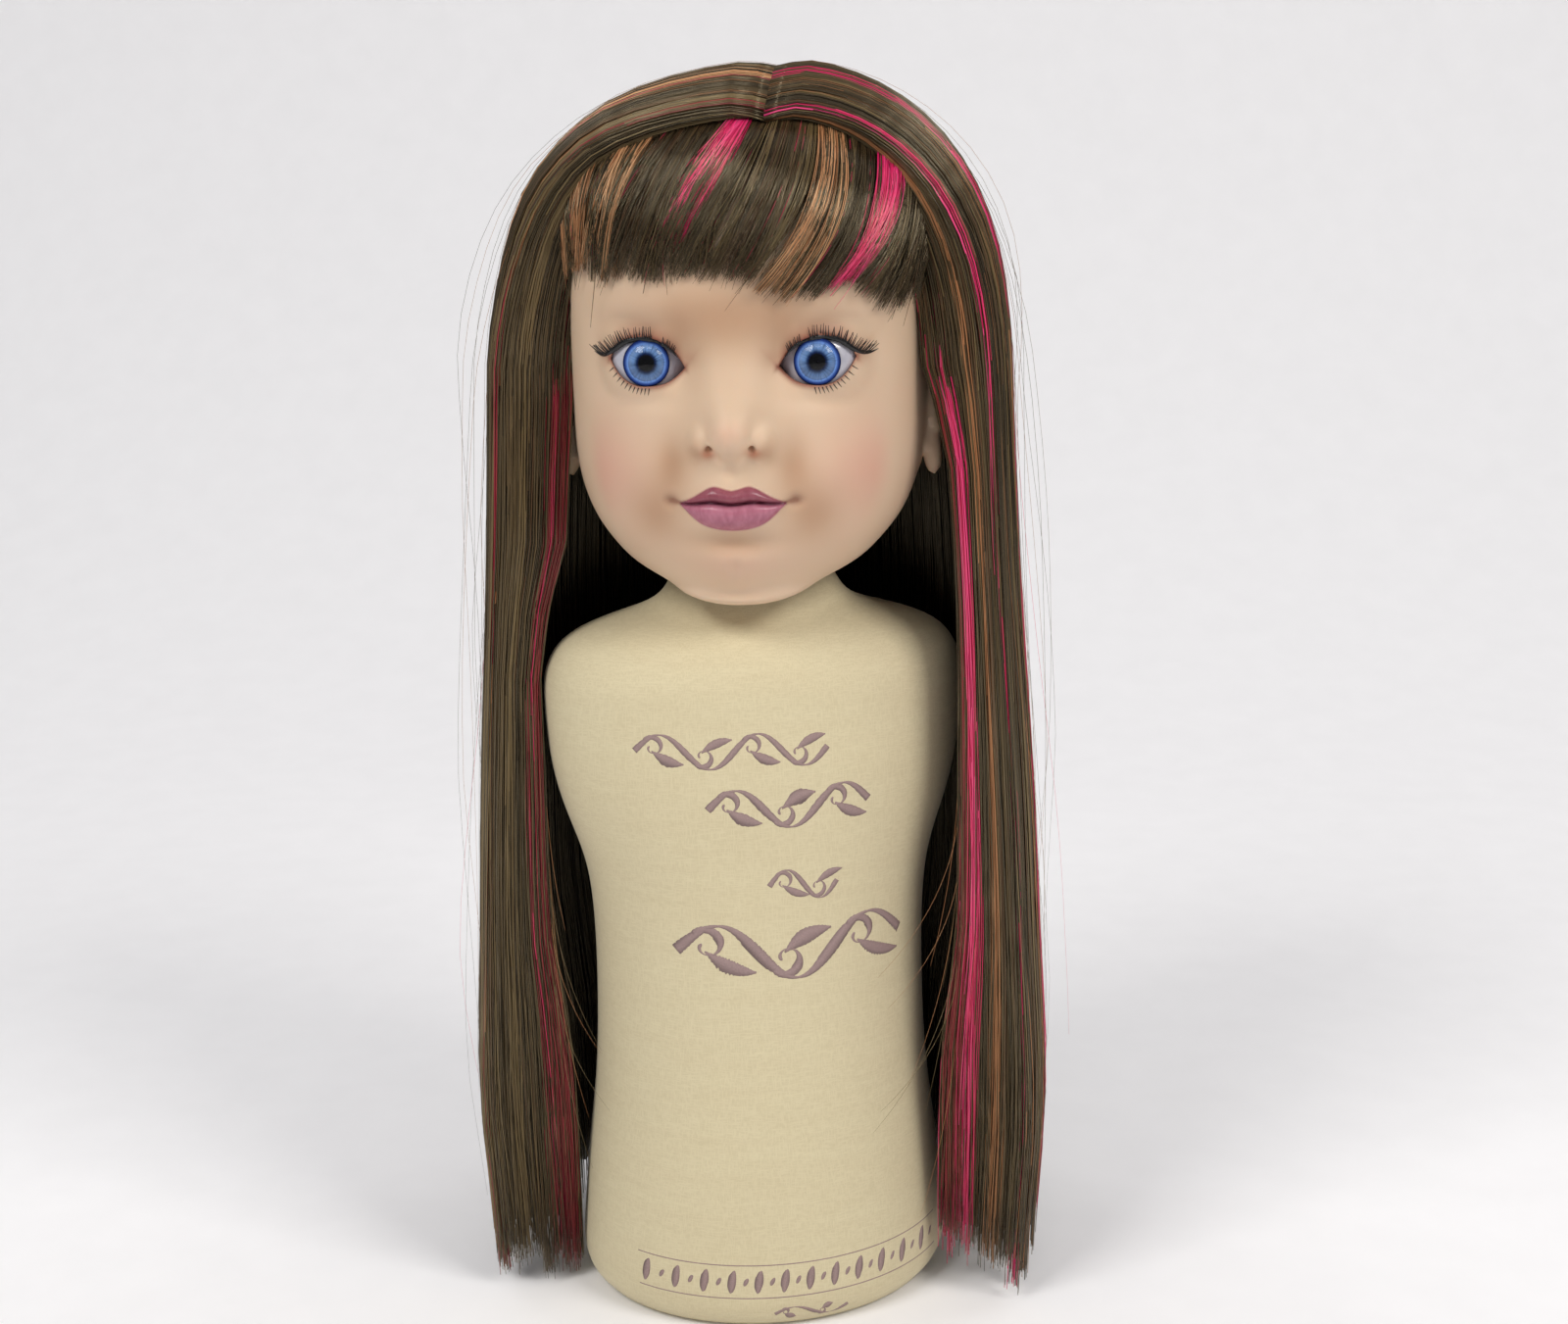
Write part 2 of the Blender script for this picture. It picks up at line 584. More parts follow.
def iris_look(name, centre):
    look = Look(name, srgb(80, 130, 210), 0.6, Specular_IOR_Level=0.0)
    offset = look.vector("SUBTRACT", look.position(), tuple(c * MM for c in centre))
    flat = look.vector("MULTIPLY", offset, (1, 0, 1))
    reach = look.math("DIVIDE", look.vector("LENGTH", flat), IRIS_R * MM)
    spoke = look.vector("MULTIPLY", look.vector("NORMALIZE", flat), (0.02, 0.02, 0.02))
    spoke = look.vector("ADD", spoke, look.vector("MULTIPLY", flat, (0.25, 0.25, 0.25)))
    fibre = look.noise(0.0011, 3, where=spoke)
    wobble = look.math("MULTIPLY", look.math("SUBTRACT", fibre, 0.5), 0.16)
    rings = look.ramp(
        look.math("ADD", reach, wobble), (0.0, PUPIL), (0.33, PUPIL), (0.42, srgb(36, 62, 116)),
        (0.54, srgb(140, 184, 240)), (0.70, srgb(164, 202, 248)), (0.80, srgb(120, 160, 226)),
        (0.90, srgb(48, 72, 140)), (1.0, srgb(14, 20, 50)),
    )
    streaks = look.ramp(fibre, (0.35, srgb(140, 146, 170)), (0.60, srgb(255, 255, 255)))
    look.colour(look.mix(0.8, rings, streaks, "MULTIPLY"))
    return look.material


def clear_look():
    """Clear acrylic: a see-through layer with a mirror-like surface."""
    look = Look("clear_acrylic", (1, 1, 1, 1), 0.02)
    through = look.node("ShaderNodeBsdfTransparent")
    gloss = look.node("ShaderNodeBsdfGlossy")
    gloss.inputs["Roughness"].default_value = 0.015
    fresnel = look.node("ShaderNodeFresnel")
    fresnel.inputs["IOR"].default_value = 1.4
    both = look.node("ShaderNodeMixShader")
    look.link(fresnel.outputs[0], both.inputs[0])
    look.link(through.outputs[0], both.inputs[1])
    look.link(gloss.outputs[0], both.inputs[2])
    look.link(both.outputs[0], look.tree.nodes["Material Output"].inputs["Surface"])
    return look.material


def eye_white_look():
    look = Look("eye_white", srgb(190, 188, 196), 0.12, Coat_Weight=0.6, Coat_Roughness=0.04)
    veins = look.noise(0.004, 4)
    look.colour(look.ramp(veins, (0.3, srgb(178, 176, 186)), (0.7, srgb(198, 196, 204))))
    return look.material


white_look, lens_look = eye_white_look(), clear_look()
for side, sign in SIDES:
    centre = (sign * EYE_X, EYE_Y, EYE_Z)
    # Each layer: its name, its node and slot, its look, its wall, and what dome_rings() takes.
    layers = (
        ("eyeball_", "eye_white", white_look, EYEBALL_WALL, (EYE_R, 0, EYE_R - 0.15, 40)),
        ("iris_", "eye_iris", iris_look("iris_" + side, centre), IRIS_THICKNESS,
         (IRIS_CURVE_R, EYE_R + 0.02 - IRIS_CURVE_R, IRIS_R, 14)),
        ("lens_", "eye_lens", lens_look, 0, (LENS_R, LENS_AHEAD, IRIS_R + 0.1, 24)),
    )
    for name, node, look, wall, dome in layers:
        points, faces = dome_rings(centre, *dome)
        layer = mesh_object(name + side, points, [faces], [look])
        if wall:
            layer.modifiers.new("shell", "SOLIDIFY").thickness = wall * MM
        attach(layer, "head")
        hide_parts(node + "_" + side)

# ------------ lashes
# Places along the lash line: distance outwards from the iris's middle, height above it, band's half height.
LASH_LINE = Spline((
    (0, -7.6, 1.3, 0.10), (1, -5.6, 3.4, 0.30), (2, -2.7, 5.1, 0.48), (3, 0.7, 5.75, 0.56),
    (4, 4.7, 5.15, 0.62), (5, 7.1, 3.8, 0.66), (6, 9.1, 2.4, 0.54), (7, 10.8, 1.6, 0.38),
    (8, 12.5, 1.55, 0.24), (9, 14.2, 2.2, 0.06),
))
LASH_LINE_END = 9
BAND_CORNERS = 10
LASH_COUNT = 46
LASH_R = 0.2
LOWER_LASH_COUNT = 11
LOWER_LASH_LENGTH, LOWER_LASH_R = 1.75, 0.14
SURFACE_GAP = 0.12


def tubes(paths, radii, outward, sides=3):
    """Round closed tubes along many paths at once: paths is (tube, place, 3), radii (tube, place)."""
    count, places = radii.shape
    along = unit(np.gradient(paths, axis=1))
    first = unit(outward - along * np.sum(outward * along, axis=-1, keepdims=True))
    second = np.cross(along, first)
    turn = 2 * math.pi * np.arange(sides) / sides
    ring = first[:, :, None] * np.cos(turn)[:, None] + second[:, :, None] * np.sin(turn)[:, None]
    points = paths[:, :, None] + ring * radii[:, :, None, None]
    start = (np.arange(count) * places * sides)[:, None, None]
    sheet = grid_faces(places, sides)
    quads = (sheet[None] + start).reshape(-1, 4)
    ring_numbers = np.arange(sides)
    near = (ring_numbers[None, ::-1] + start[:, 0]).reshape(-1, sides)
    far = (ring_numbers[None] + start[:, 0] + (places - 1) * sides).reshape(-1, sides)
    return points.reshape(-1, 3), [quads, near, far]


bristle = grainy("black_bristle", BLACK, 0.38, 0.0006, 0.3)


def rod_faces(places, corners):
    """The sides and both ends of a closed rod whose rings of points follow each other."""
    ring = np.arange(corners)[None]
    return [grid_faces(places, corners), ring[:, ::-1], ring + (places - 1) * corners]


def lash_points(sign, place):
    """The lash line's points on the lid at places from 0 to 9, and the band's half heights."""
    out, up, half = np.moveaxis(LASH_LINE(place), -1, 0)
    x, z = sign * (EYE_X + out), EYE_Z + up
    front = [face_depth(a, b + 0.3) for a, b in zip(x, z)]
    y = np.minimum(np.array(front), EYE_Y - np.sqrt(np.maximum((EYE_R + 0.5) ** 2 - out**2 - up**2, 0)))
    return np.stack([x, y - SURFACE_GAP, z], axis=-1), half


def lash_band(sign):
    """The black strip along the lid's rim, an oval section drawn out to a wing at the outer corner."""
    place = np.linspace(0, LASH_LINE_END, 90)
    line, half = lash_points(sign, place)
    smooth_y = np.convolve(np.pad(line[:, 1], 4, mode="edge"), np.ones(9) / 9, mode="valid")
    line[:, 1] = np.minimum(line[:, 1], smooth_y) - 0.1
    turn = np.linspace(0, 2 * math.pi, BAND_CORNERS, endpoint=False)
    along = unit(np.gradient(line, axis=0))
    forward = np.broadcast_to((0.0, -1.0, 0.0), line.shape)
    across = unit(np.cross(along, forward))
    points = line[:, None] + across[:, None] * (np.cos(turn)[:, None] * half[:, None, None])
    points = points + forward[:, None] * (np.sin(turn)[:, None] * (0.16 + 0.3 * half[:, None, None]))
    return points.reshape(-1, 3), rod_faces(len(place), BAND_CORNERS)


def upper_lashes(sign):
    """Single bristles that fan out from the strip, curling forwards and up."""
    place = np.linspace(0.5, 7.6, LASH_COUNT)
    roots, _half = lash_points(sign, place)
    share = place / LASH_LINE_END
    lean = np.radians(28 - 92 * share + rng.uniform(-9, 9, LASH_COUNT))
    length = (2.7 + 1.3 * share + rng.uniform(-0.4, 0.4, LASH_COUNT)) * (1 - 0.3 * (share < 0.2))
    up = np.stack([-sign * np.sin(lean), 0 * lean, np.cos(lean)], axis=-1)
    s = np.linspace(0, 1, 9)[None, :, None]
    forward = np.array([0, -1.0, 0])
    paths = roots[:, None] + up[:, None] * (length[:, None, None] * (0.35 * s + 0.6 * s**2))
    paths = paths + forward * (length[:, None, None] * (0.62 * s - 0.22 * s**2))
    radii = (LASH_R * (1 - 0.7 * s[..., 0])) * np.ones((LASH_COUNT, 1))
    return tubes(paths, radii, np.broadcast_to(forward, paths.shape), 4)


def painted_lashes(sign):
    """Short strokes of raised paint under the outer half of the lower lid."""
    out = np.linspace(-0.6, 8.2, LOWER_LASH_COUNT)
    low = LOWER_LID(out) - 0.45
    lean = np.radians(12 + 40 * (out + 0.6) / 8.8)
    s = np.linspace(0, 1, 7)
    reach = LOWER_LASH_LENGTH * s
    x = sign * (EYE_X + out[:, None] + np.sin(lean)[:, None] * reach)
    z = EYE_Z + low[:, None] - np.cos(lean)[:, None] * reach
    y = np.array([[face_depth(a, b) for a, b in zip(*pair)] for pair in zip(x, z)]) - 0.02
    paths = np.stack([x, y, z], axis=-1)
    radii = LOWER_LASH_R * np.sqrt(np.clip(1.05 - s, 0.02, 1)) * np.ones((LOWER_LASH_COUNT, 1))
    return tubes(paths, radii, np.broadcast_to((0.0, -1.0, 0.0), paths.shape), 5)


def joined(parts):
    """Points and faces of several meshes as one."""
    points, faces, start = [], [], 0
    for part_points, part_faces in parts:
        points.append(part_points)
        faces += [np.asarray(block) + start for block in part_faces]
        start += len(part_points)
    return np.concatenate(points), faces


for side, sign in SIDES:
    points, faces = joined([lash_band(sign), upper_lashes(sign)])
    lashes = mesh_object("lashes_" + side, points, faces, [bristle])
    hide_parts("upper_lashes_" + side)
    points, faces = painted_lashes(sign)
    strokes = mesh_object("painted_lashes_" + side, points, faces, [bristle])
    for piece in (lashes, strokes):
        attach(piece, "head")

# ------------ hair
# The hair lies on a dome that meets a hanging curtain at DOME_Z; depth runs from 0 (outside) to 1 (inside).
HAIR_Y, DOME_Z = 3.0, 241.0
DOME_R, DOME_H = (67.9, 54.0), (84.0, 77.5)
HANG_OUTER = Spline((
    (-8, 75.6), (19, 76.5), (49, 78.4), (92, 76.6), (134, 74.4), (189, 70.6), (241, 67.9),
))
# The inner strands clear the form's shoulders when the head is lifted off.
HANG_INNER = Spline((
    (-8, 52.6), (20, 52.6), (60, 53.2), (80, 54.8), (94, 57.0), (110, 58.0), (140, 58.0), (185, 57.9),
    (241, 54.0),
))
PART_FRONT, PART_BACK = -0.515, 0.30
FACE_AZIMUTH, BACK_AZIMUTH = -24.0, 90.0
# The part's shift to the right, between two heights; the left side's fullness, round a height.
PART_LEAN, LEAN_FROM, LEAN_TO = 8.5, 245, 325
LEFT_FULLNESS, FULLEST_Z = 4.0, 303
ROOT_SCATTER = 0.012
# How far the roots sink at the part, and within how many degrees of it.
PART_SINK, SINK_DEGREES = 1.8, 4.0
# How far the inner strands at each temple are drawn in, and the heights between which that sets in.
TEMPLE_TUCK = {-1: (7.0, 176, 205), 1: (5.5, 230, 252)}
DOME_PLACES, HANG_PLACES = 17, 13
CROWN_SHARE = 0.6

BROWN_TONES = ((38, 29, 19), (52, 41, 28), (70, 57, 38), (88, 72, 48), (108, 90, 60), (78, 54, 36))
CARAMEL_TONES = ((164, 110, 72), (192, 136, 94), (210, 158, 114))
PINK_TONES = ((196, 20, 84), (226, 38, 108), (240, 70, 134))
CRIMSON_TONES = ((104, 14, 34), (138, 20, 46))
BROWN, CARAMEL, PINK, CRIMSON = 0, 6, 9, 12


FIBRE_SHINE = (1.0, 0.85, 0.58, 1.0)
FIBRES = []
for kind, tones in (("brown", BROWN_TONES), ("caramel", CARAMEL_TONES), ("pink", PINK_TONES),
                    ("crimson", CRIMSON_TONES)):
    for number, tone in enumerate(tones):
        fibre = Look("fibre_" + kind + "_" + str(number), srgb(*tone), 0.25, IOR=1.6, Specular_IOR_Level=0.9,
                     Specular_Tint=FIBRE_SHINE)
        FIBRES.append(fibre.material)


def lean(points):
    """The part line lies a little to the right of the head's middle, and the left side is the fuller one."""
    x, z = points[..., 0], points[..., 2]
    leftwards = step(2, 34, -x)
    shift = PART_LEAN * step(LEAN_FROM, LEAN_TO, z) * (1 - leftwards)
    points[..., 0] = x + shift - LEFT_FULLNESS * leftwards * np.exp(-(((z - FULLEST_Z) / 24) ** 2))
    return points


def blend(first, second, share):
    return first + (second - first) * share


def hair_paths(sign, azimuth, depth, ends, wander=1.0, root_back=0.0):
    """Strand paths (strand, place, 3) from the part over the dome and down to the ends' heights."""
    count = len(azimuth)
    along = (azimuth - FACE_AZIMUTH) / (BACK_AZIMUTH - FACE_AZIMUTH)
    root = blend(PART_FRONT, PART_BACK, np.clip(along / CROWN_SHARE, 0, 1)) + root_back
    root = root + rng.normal(0, ROOT_SCATTER, count) + 0.10 * step(CROWN_SHARE, 1, along)
    share = np.linspace(0, 1, DOME_PLACES)[None] ** 1.2
    places = np.linspace(0, 1, DOME_PLACES + HANG_PLACES)[None]
    phase = rng.uniform(0, 2 * math.pi, (3, count, 1))
    drift = 0.5 * np.sin(2.2 * math.pi * places + phase[0]) + 0.25 * np.sin(5.1 * math.pi * places + phase[1])
    drift = drift * places * wander
    hang = np.radians(azimuth[:, None] + 1.3 * drift)
    deep = np.clip(depth[:, None] + 0.06 * wander * np.sin(3.1 * math.pi * places + phase[2]) * places, 0, 1)

    dome_hang, dome_deep = hang[:, :DOME_PLACES], deep[:, :DOME_PLACES]
    turn = share * math.pi / 2
    uy = blend(root[:, None], np.sin(dome_hang), share)
    wide = np.sqrt(1 - uy**2)
    combed = np.stack([wide * np.sin(turn), uy, wide * np.cos(turn)], axis=-1)
    start = np.stack([0 * root, root, np.sqrt(1 - root**2)], axis=-1)[:, None]
    end = np.stack([np.cos(dome_hang), np.sin(dome_hang), 0 * dome_hang], axis=-1)
    arc = unit(start * np.cos(turn)[..., None] + end * np.sin(turn)[..., None])
    ray = unit(blend(combed, arc, step(0.2, CROWN_SHARE, along)[:, None, None]))
    notch = PART_SINK * np.exp(-((share * 90 / SINK_DEGREES) ** 2))
    dome_z = DOME_Z + blend(DOME_H[0], DOME_H[1], dome_deep) * ray[..., 2] - notch
    amount, tuck_low, tuck_high = TEMPLE_TUCK[sign]
    tuck = amount * step(-10, -20, azimuth)[:, None]
    across = blend(DOME_R[0], DOME_R[1] - tuck * step(tuck_low, tuck_high, dome_z), dome_deep)
    dome = np.stack([sign * across * ray[..., 0], HAIR_Y + across * ray[..., 1], dome_z], axis=-1)

    drop = np.linspace(0, 1, HANG_PLACES + 1)[None, 1:]
    height = DOME_Z + (ends[:, None] - DOME_Z) * drop
    inner = HANG_INNER(height) - tuck * step(tuck_low, tuck_high, height)
    radius = blend(HANG_OUTER(height), inner, deep[:, DOME_PLACES:])
    hang = hang[:, DOME_PLACES:]
    curtain = np.stack([sign * radius * np.cos(hang), HAIR_Y + radius * np.sin(hang), height], axis=-1)
    return np.concatenate([dome, curtain], axis=1)


def gathered(paths, clump, strength):
    """Draw the strands of each clump together towards their ends."""
    count = clump.max() + 1
    size = np.maximum(np.bincount(clump, minlength=count), 1)[:, None, None]
    middle = np.zeros((count, *paths.shape[1:]))
    np.add.at(middle, clump, paths)
    middle = (middle / size)[clump]
    pull = strength[:, None] * step(0.35, 1.0, np.linspace(0, 1, paths.shape[1]))[None]
    return blend(paths, middle, pull[..., None])


def hair_outward(paths):
    """Directions away from the middle of the head or its axis."""
    away = paths - np.array((0, HAIR_Y, 0))
    away[..., 2] = np.maximum(paths[..., 2] - DOME_Z, 0)
    return away


def strand_piece(name, paths, thickness, tones, node, outward=None, thinner=0.55, power=4):
    """One visible piece of many strands, in the place of a lock of the CAD; they thin towards their ends."""
    places = paths.shape[1]
    taper = 1 - thinner * np.linspace(0, 1, places) ** power
    if outward is None:
        outward = hair_outward(paths)
    points, faces = tubes(paths, thickness[:, None] * taper, outward)
    tone_faces = np.concatenate([np.repeat(tones, 3 * (places - 1)), tones, tones])
    used = np.unique(tones)
    piece = mesh_object(name, points, faces, [FIBRES[i] for i in used], np.searchsorted(used, tone_faces))
    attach(piece, "head")
    if node:
        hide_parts(node)
    return piece


def brown_mix(clump, count):
    """Brown tones that change from clump to clump and a little from strand to strand."""
    clump_tone = rng.choice(6, size=clump.max() + 1, p=(0.14, 0.24, 0.24, 0.19, 0.10, 0.09))[clump]
    own_tone = rng.choice(6, size=count, p=(0.2, 0.25, 0.22, 0.15, 0.08, 0.10))
    return np.where(rng.random(count) < 0.45, clump_tone, own_tone)


def dyed(tones, where, first, kinds=3):
    """The tones, with the chosen strands in one of the tones of a colour that starts at first."""
    return np.where(where, first + rng.integers(0, kinds, len(tones)), tones)


# Each lock: first and last azimuth from its own side's X axis towards the back, and its strands.
LOCKS = {
    "right": (("pink_streak_right", -22, -16, 170), ("temple_lock_right", -16, -3.5, 290),
              ("pink_streak_crown", -3.5, 0.5, 110), ("side_lock_right", 0.5, 32, 620),
              ("rear_lock_right", 32, 61, 560), ("back_lock_right", 61, 90, 560)),
    "left": (("pink_streak_left", -22, -16, 170), ("temple_lock_left", -16, -6, 250),
             ("blonde_streak_left", -6, -1, 110), ("side_lock_left", -1, 32, 620),
             ("rear_lock_left", 32, 61, 560), ("back_lock_left", 61, 90, 560)),
}
# The strands' radii in the locks, in the curtains' front faces and in the fringe, and of the stray ones.
LOCK_THICKNESS, FACE_THICKNESS, FRINGE_THICKNESS = (0.17, 0.25), (0.15, 0.22), (0.11, 0.17)
STRAY_THICKNESS = 0.055
FACE_STRANDS = 900
INNER_SHARE, LEFT_EDGE_SHARE = 0.22, 0.14
END_HEIGHT = (3.0, 13.0)
END_RAISED = {"left": 7.0, "right": 5.0}
CLUMP_DEGREES = 2.6


def end_heights(clump, count):
    """Heights of the strands' ends, ragged by clump and by strand."""
    ragged = rng.uniform(*END_HEIGHT, clump.max() + 1)[clump]
    return np.maximum(ragged + rng.uniform(-4, 4, count) + rng.exponential(3.0, count), 1.0)


def lock_tones(name, azimuth, depth, clump):
    tones = brown_mix(clump, len(azimuth))
    stray = rng.random(len(azimuth))
    if name == "pink_streak_crown":
        tones = dyed(tones, stray < 0.8, PINK)
    elif name == "pink_streak_right":
        tones = dyed(tones, (depth > 0.5) | ((azimuth < -20.2) & (stray < 0.55)), PINK)
    elif name == "pink_streak_left":
        tones = dyed(tones, (depth > 0.5) | ((azimuth < -19.5) & (stray < 0.5)), CRIMSON, 2)
    elif name == "blonde_streak_left":
        tones = dyed(tones, stray < 0.75, CARAMEL)
    elif name == "side_lock_left":
        tones = np.where((azimuth > 27) & (azimuth < 29) & (stray < 0.8), PINK + 1, tones)
    tones = np.where(stray > 0.975, CARAMEL, tones)
    return np.where((depth > 0.7) & (azimuth > -10), BROWN, tones)


def face_tones(side, depth, clump):
    """The curtain's front face: pink and crimson strands between brown ones."""
    tones = brown_mix(clump, len(depth))
    stray = rng.random(len(depth))
    if side == "right":
        tones = dyed(tones, (depth > 0.56) & (depth < 0.76) & (stray < 0.85), PINK)
        tones = dyed(tones, (depth > 0.76) & (depth < 0.9) & (stray < 0.7), CRIMSON, 2)
        return np.where((depth > 0.3) & (depth < 0.38) & (stray < 0.7), CARAMEL, tones)
    tones = dyed(tones, (depth > 0.68) & (depth < 0.94) & (stray < 0.8), CRIMSON, 2)
    return np.where((depth > 0.72) & (depth < 0.77) & (stray < 0.25), PINK, tones)


def make_long_hair(side, sign):
    """One side's locks round the head, and then the front face of its curtain."""
    for name, first, last, count in LOCKS[side]:
        azimuth = rng.uniform(first - 0.4, last + 0.4, count)
        inner = rng.random(count) < INNER_SHARE
        depth = np.where(inner, rng.uniform(0.86, 1.0, count), rng.uniform(0, 0.14, count) ** 1.1)
        clump_place = (azimuth - first + 1) / CLUMP_DEGREES
        clump = clump_place.astype(int) * 2 + inner
        depth = depth + 0.05 * (1 - inner) * np.abs(np.sin(math.pi * clump_place + 1.57))
        ends = end_heights(clump, count) + END_RAISED[side] * step(-18, 4, azimuth)
        paths = hair_paths(sign, azimuth, depth, ends)
        paths = lean(gathered(paths, clump, rng.uniform(0.0, 0.62, count)))
        strand_piece("strands_" + name, paths, rng.uniform(*LOCK_THICKNESS, count),
                     lock_tones(name, azimuth, depth, clump), name)

    count = FACE_STRANDS
    edge = (side == "left") & (rng.random(count) < LEFT_EDGE_SHARE)
    depth = np.where(edge, rng.uniform(0.95, 1.0, count), rng.uniform(0, 1, count) ** 0.9)
    azimuth = FACE_AZIMUTH + 3.0 * (2 * np.abs(depth - 0.5)) ** 3 + rng.exponential(0.7, count)
    clump = (depth * 9).astype(int)
    tones = face_tones(side, depth, clump)
    hidden = np.where(tones >= PINK, 0.13, 0.0)
    ends = end_heights(clump, count) + END_RAISED[side] * (side == "right")
    short = (side == "right") & (tones >= PINK) & (tones < CRIMSON) & (rng.random(count) < 0.6)
    ends = np.where(short, rng.uniform(40, 115, count), ends)
    paths = hair_paths(sign, azimuth, depth, ends, 1.2, hidden)
    paths = lean(gathered(paths, clump, rng.uniform(0.0, 0.35, count) * (1 - edge)))
    strand_piece("strands_front_sweep_" + side, paths, rng.uniform(*FACE_THICKNESS, count),
                 tones, "front_sweep_" + side)


def make_under_hair():
    """The closed dark mass between the outer and inner strands, one piece for each side."""
    look = grainy("under_hair", srgb(26, 20, 14), 0.6, 0.0004, 0.25)
    rows = 60
    for side, sign in SIDES:
        azimuth = np.linspace(FACE_AZIMUTH + 4.5, BACK_AZIMUTH, rows)
        ends = 19 + 3 * np.sin(azimuth * 0.9)
        outer, inner = (hair_paths(sign, azimuth, np.full(rows, depth), ends, 0) for depth in (0.22, 0.8))
        places = outer.shape[1]
        ring = np.concatenate([outer, inner[:, ::-1]], axis=1)
        faces = grid_faces(rows, 2 * places)
        caps = []
        for row in (0, rows - 1):
            start, last = row * 2 * places, (row + 1) * 2 * places - 1
            for k in range(places - 1):
                caps.append((start + k, start + k + 1, last - 1 - k, last - k))
        piece = mesh_object("under_hair_" + side, lean(ring), [faces, np.array(caps)], [look])
        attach(piece, "head")


FLYAWAYS = 30
FLYAWAY_REACH = 10.0
WISPS = 10
# The wisps pass outside the form's shoulders when the head turns.
WISP_R = 57.9


def make_flyaways():
    """Single fine strands that stand away from the curtain."""
    parts, tones = [], []
    count = FLYAWAYS
    for _side, sign in SIDES:
        azimuth = rng.uniform(FACE_AZIMUTH, BACK_AZIMUTH, count)
        azimuth[: count // 2] = rng.uniform(-20, 20, count // 2)
        paths = hair_paths(sign, azimuth, np.full(count, 0.0), rng.uniform(6, 90, count), 3.0)
        s = np.linspace(0, 1, paths.shape[1])[None]
        centre, breadth = rng.uniform(0.45, 0.95, (count, 1)), rng.uniform(0.1, 0.3, (count, 1))
        away = FLYAWAY_REACH * rng.random((count, 1)) ** 2 * np.exp(-(((s - centre) / breadth) ** 2))
        paths = paths + unit(hair_outward(paths)) * away[..., None]
        parts.append(lean(paths))
        tones.append(rng.choice([BROWN + 3, BROWN + 4, BROWN + 5, CARAMEL, PINK + 1], size=count,
                                p=(0.35, 0.2, 0.2, 0.15, 0.1)))
        parts.append(wisps(sign, paths.shape[1]))
        tones.append(rng.choice([BROWN + 4, BROWN + 5, CARAMEL, PINK], size=WISPS, p=(0.3, 0.2, 0.4, 0.1)))
    paths, tones = np.concatenate(parts), np.concatenate(tones)
    strand_piece("flyaway_strands", paths, np.full(len(paths), STRAY_THICKNESS), tones, None)


def wisps(sign, places):
    """Fine strands that stray from a curtain's inner edge and hang in front of the form."""
    top, drop = rng.uniform(80, 150, (WISPS, 1)), rng.uniform(28, 62, (WISPS, 1))
    s = np.linspace(0, 1, places)[None]
    azimuth = np.radians(FACE_AZIMUTH + 3 - rng.uniform(6, 36, (WISPS, 1)) * s**1.5)
    radius = WISP_R + rng.uniform(0, 1, (WISPS, 1)) * s
    x, y = sign * radius * np.cos(azimuth), HAIR_Y + radius * np.sin(azimuth)
    return np.stack([x, y, top - drop * s], axis=-1)


for side, sign in SIDES:
    make_long_hair(side, sign)
make_under_hair()
make_flyaways()

# ------------ fringe
# Along the distance of each root across the head: heights of the roots and of the ends, how far the strands
# swing sideways on the way down, and how far they bow out between.
FRINGE_TOP = Spline((
    (-50, 295), (-44, 301), (-36, 307.5), (-22, 313.5), (0, 315), (22, 311), (36, 305), (46, 297.5),
))
FRINGE_END = Spline((
    (-44, 275.5), (-35, 274.5), (-13, 272.5), (0, 272.5), (6, 270), (11, 268.5), (19, 268.5), (25, 271),
    (29, 268.5), (33, 266), (44, 267),
))
FRINGE_SWING = Spline((
    (-50, 2), (-44, -1), (-30, -9), (-15, -13), (0, -13), (7, -10), (14, -6), (24, -3.5), (36, -1), (46, 1),
))
FRINGE_BOW = Spline((
    (-44, -1), (-30, -1.5), (-15, -1), (0, 1), (7, 6), (14, 9.5), (24, 10.5), (32, 9), (38, 4), (46, 1),
))
# Each lock: first and last root place across, its strands and its own colour.
FRINGE = (
    ("fringe_left", -47, -6, 1500, BROWN), ("fringe_pink_left", -6, -2, 230, PINK),
    ("fringe_centre", -2, 11, 620, BROWN), ("fringe_blonde", 11, 16, 240, CARAMEL),
    ("fringe_right", 16, 46, 1000, BROWN), ("fringe_pink_right", 25.5, 29, 170, PINK),
)
FRINGE_PLACES = 15


def forehead_y(x, z, lift):
    """The front of the skull grown by lift, level off to its sides."""
    a, b, c = np.moveaxis(HEAD_SECTIONS(z), -1, 0)
    return c - (b + lift) * np.sqrt(np.maximum(1 - (x / (a + lift)) ** 2, 0.10))


